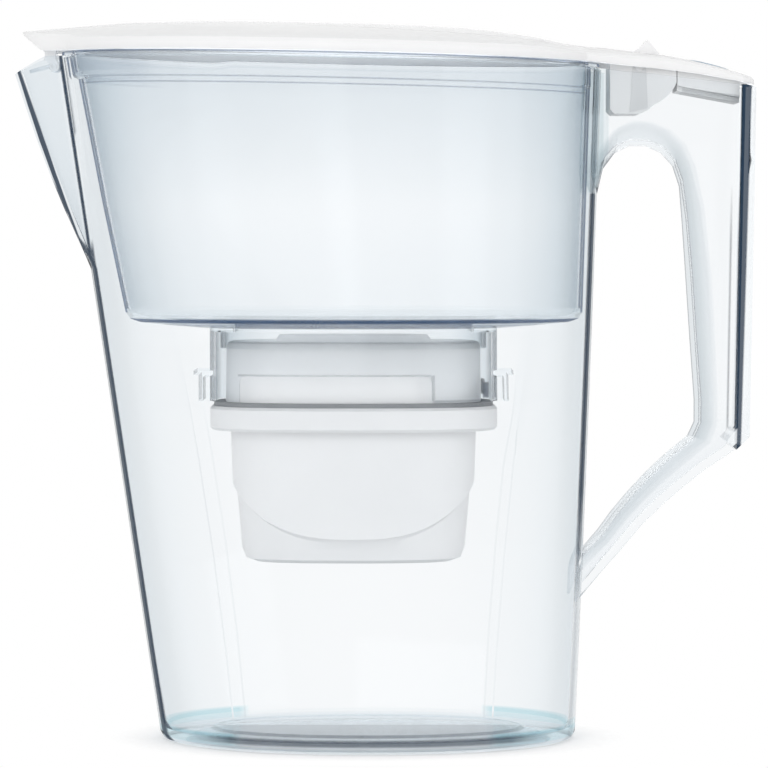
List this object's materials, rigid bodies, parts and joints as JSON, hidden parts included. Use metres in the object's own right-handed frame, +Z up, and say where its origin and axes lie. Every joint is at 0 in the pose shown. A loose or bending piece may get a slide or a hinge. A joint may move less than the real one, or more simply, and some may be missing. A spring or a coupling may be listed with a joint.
{
  "type": "water filter pitcher",
  "caption": "Slim clear water filter pitcher with a hanging hopper, an oval filter cartridge under it and a white lid with a thumb-tab filling flap.",
  "frame": {"origin": "centre of the bounding box's bottom face, on the surface the pitcher stands on", "axes": "+X points to the handle, -X to the spout, +Y across the pitcher, +Z up"},
  "size_m": [0.2646, 0.105, 0.2575],
  "materials": {
    "clear_plastic": "clear polished plastic",
    "hopper_plastic": "clear polished plastic",
    "seal_rubber": "soft",
    "cartridge_plastic": "matte",
    "screen_plastic": "matte",
    "carbon": "granular",
    "resin": "granular",
    "felt": "felted",
    "lid_plastic": "glossy",
    "frosted_plastic": "satin",
    "dial_plastic": "satin"
  },
  "bodies": {
    "jug": {"jug_body": "clear_plastic", "handle": "clear_plastic"},
    "hopper": {"hopper": "hopper_plastic", "cartridge_collar": "hopper_plastic"},
    "cartridge": {"cartridge_seal": "seal_rubber", "cartridge_shell": "cartridge_plastic", "cartridge_cap": "cartridge_plastic", "inlet_screen": "screen_plastic", "outlet_screen": "screen_plastic", "carbon_bed": "carbon", "resin_bed": "resin", "separator_pad": "felt"},
    "lid": {"lid_shell": "lid_plastic", "flap_pocket": "frosted_plastic", "spout_bracket": "lid_plastic", "dial_housing": "frosted_plastic", "spout_flap_pin": "lid_plastic"},
    "filling_flap": {"fill_flap": "lid_plastic"},
    "spout_flap": {"spout_flap": "hopper_plastic"},
    "dial": {"month_dial": "dial_plastic"}
  },
  "joints": [
    {"name": "hopper_lift", "type": "slide", "parent": "jug", "child": "hopper", "axis": [0, 0, 1], "range_m": [0, 0.2]},
    {"name": "lid_lift", "type": "slide", "parent": "hopper", "child": "lid", "axis": [0, 0, 1], "range_m": [0, 0.06]},
    {"name": "cartridge_drop", "type": "slide", "parent": "hopper", "child": "cartridge", "axis": [0, 0, -1], "range_m": [0, 0.035]},
    {"name": "filling_flap_hinge", "type": "hinge", "parent": "lid", "child": "filling_flap", "pos_m": [0.0907, 0, 0.24094], "axis": [0, 1, 0], "range_deg": [0, 65]},
    {"name": "spout_flap_hinge", "type": "hinge", "parent": "lid", "child": "spout_flap", "pos_m": [-0.1176, 0, 0.24126], "axis": [0, 1, 0], "range_deg": [0, 30]},
    {"name": "month_dial_turn", "type": "hinge", "parent": "lid", "child": "dial", "pos_m": [0.1166, 0, 0.24197], "axis": [0.2495, 0, 0.9684], "continuous": true}
  ]
}
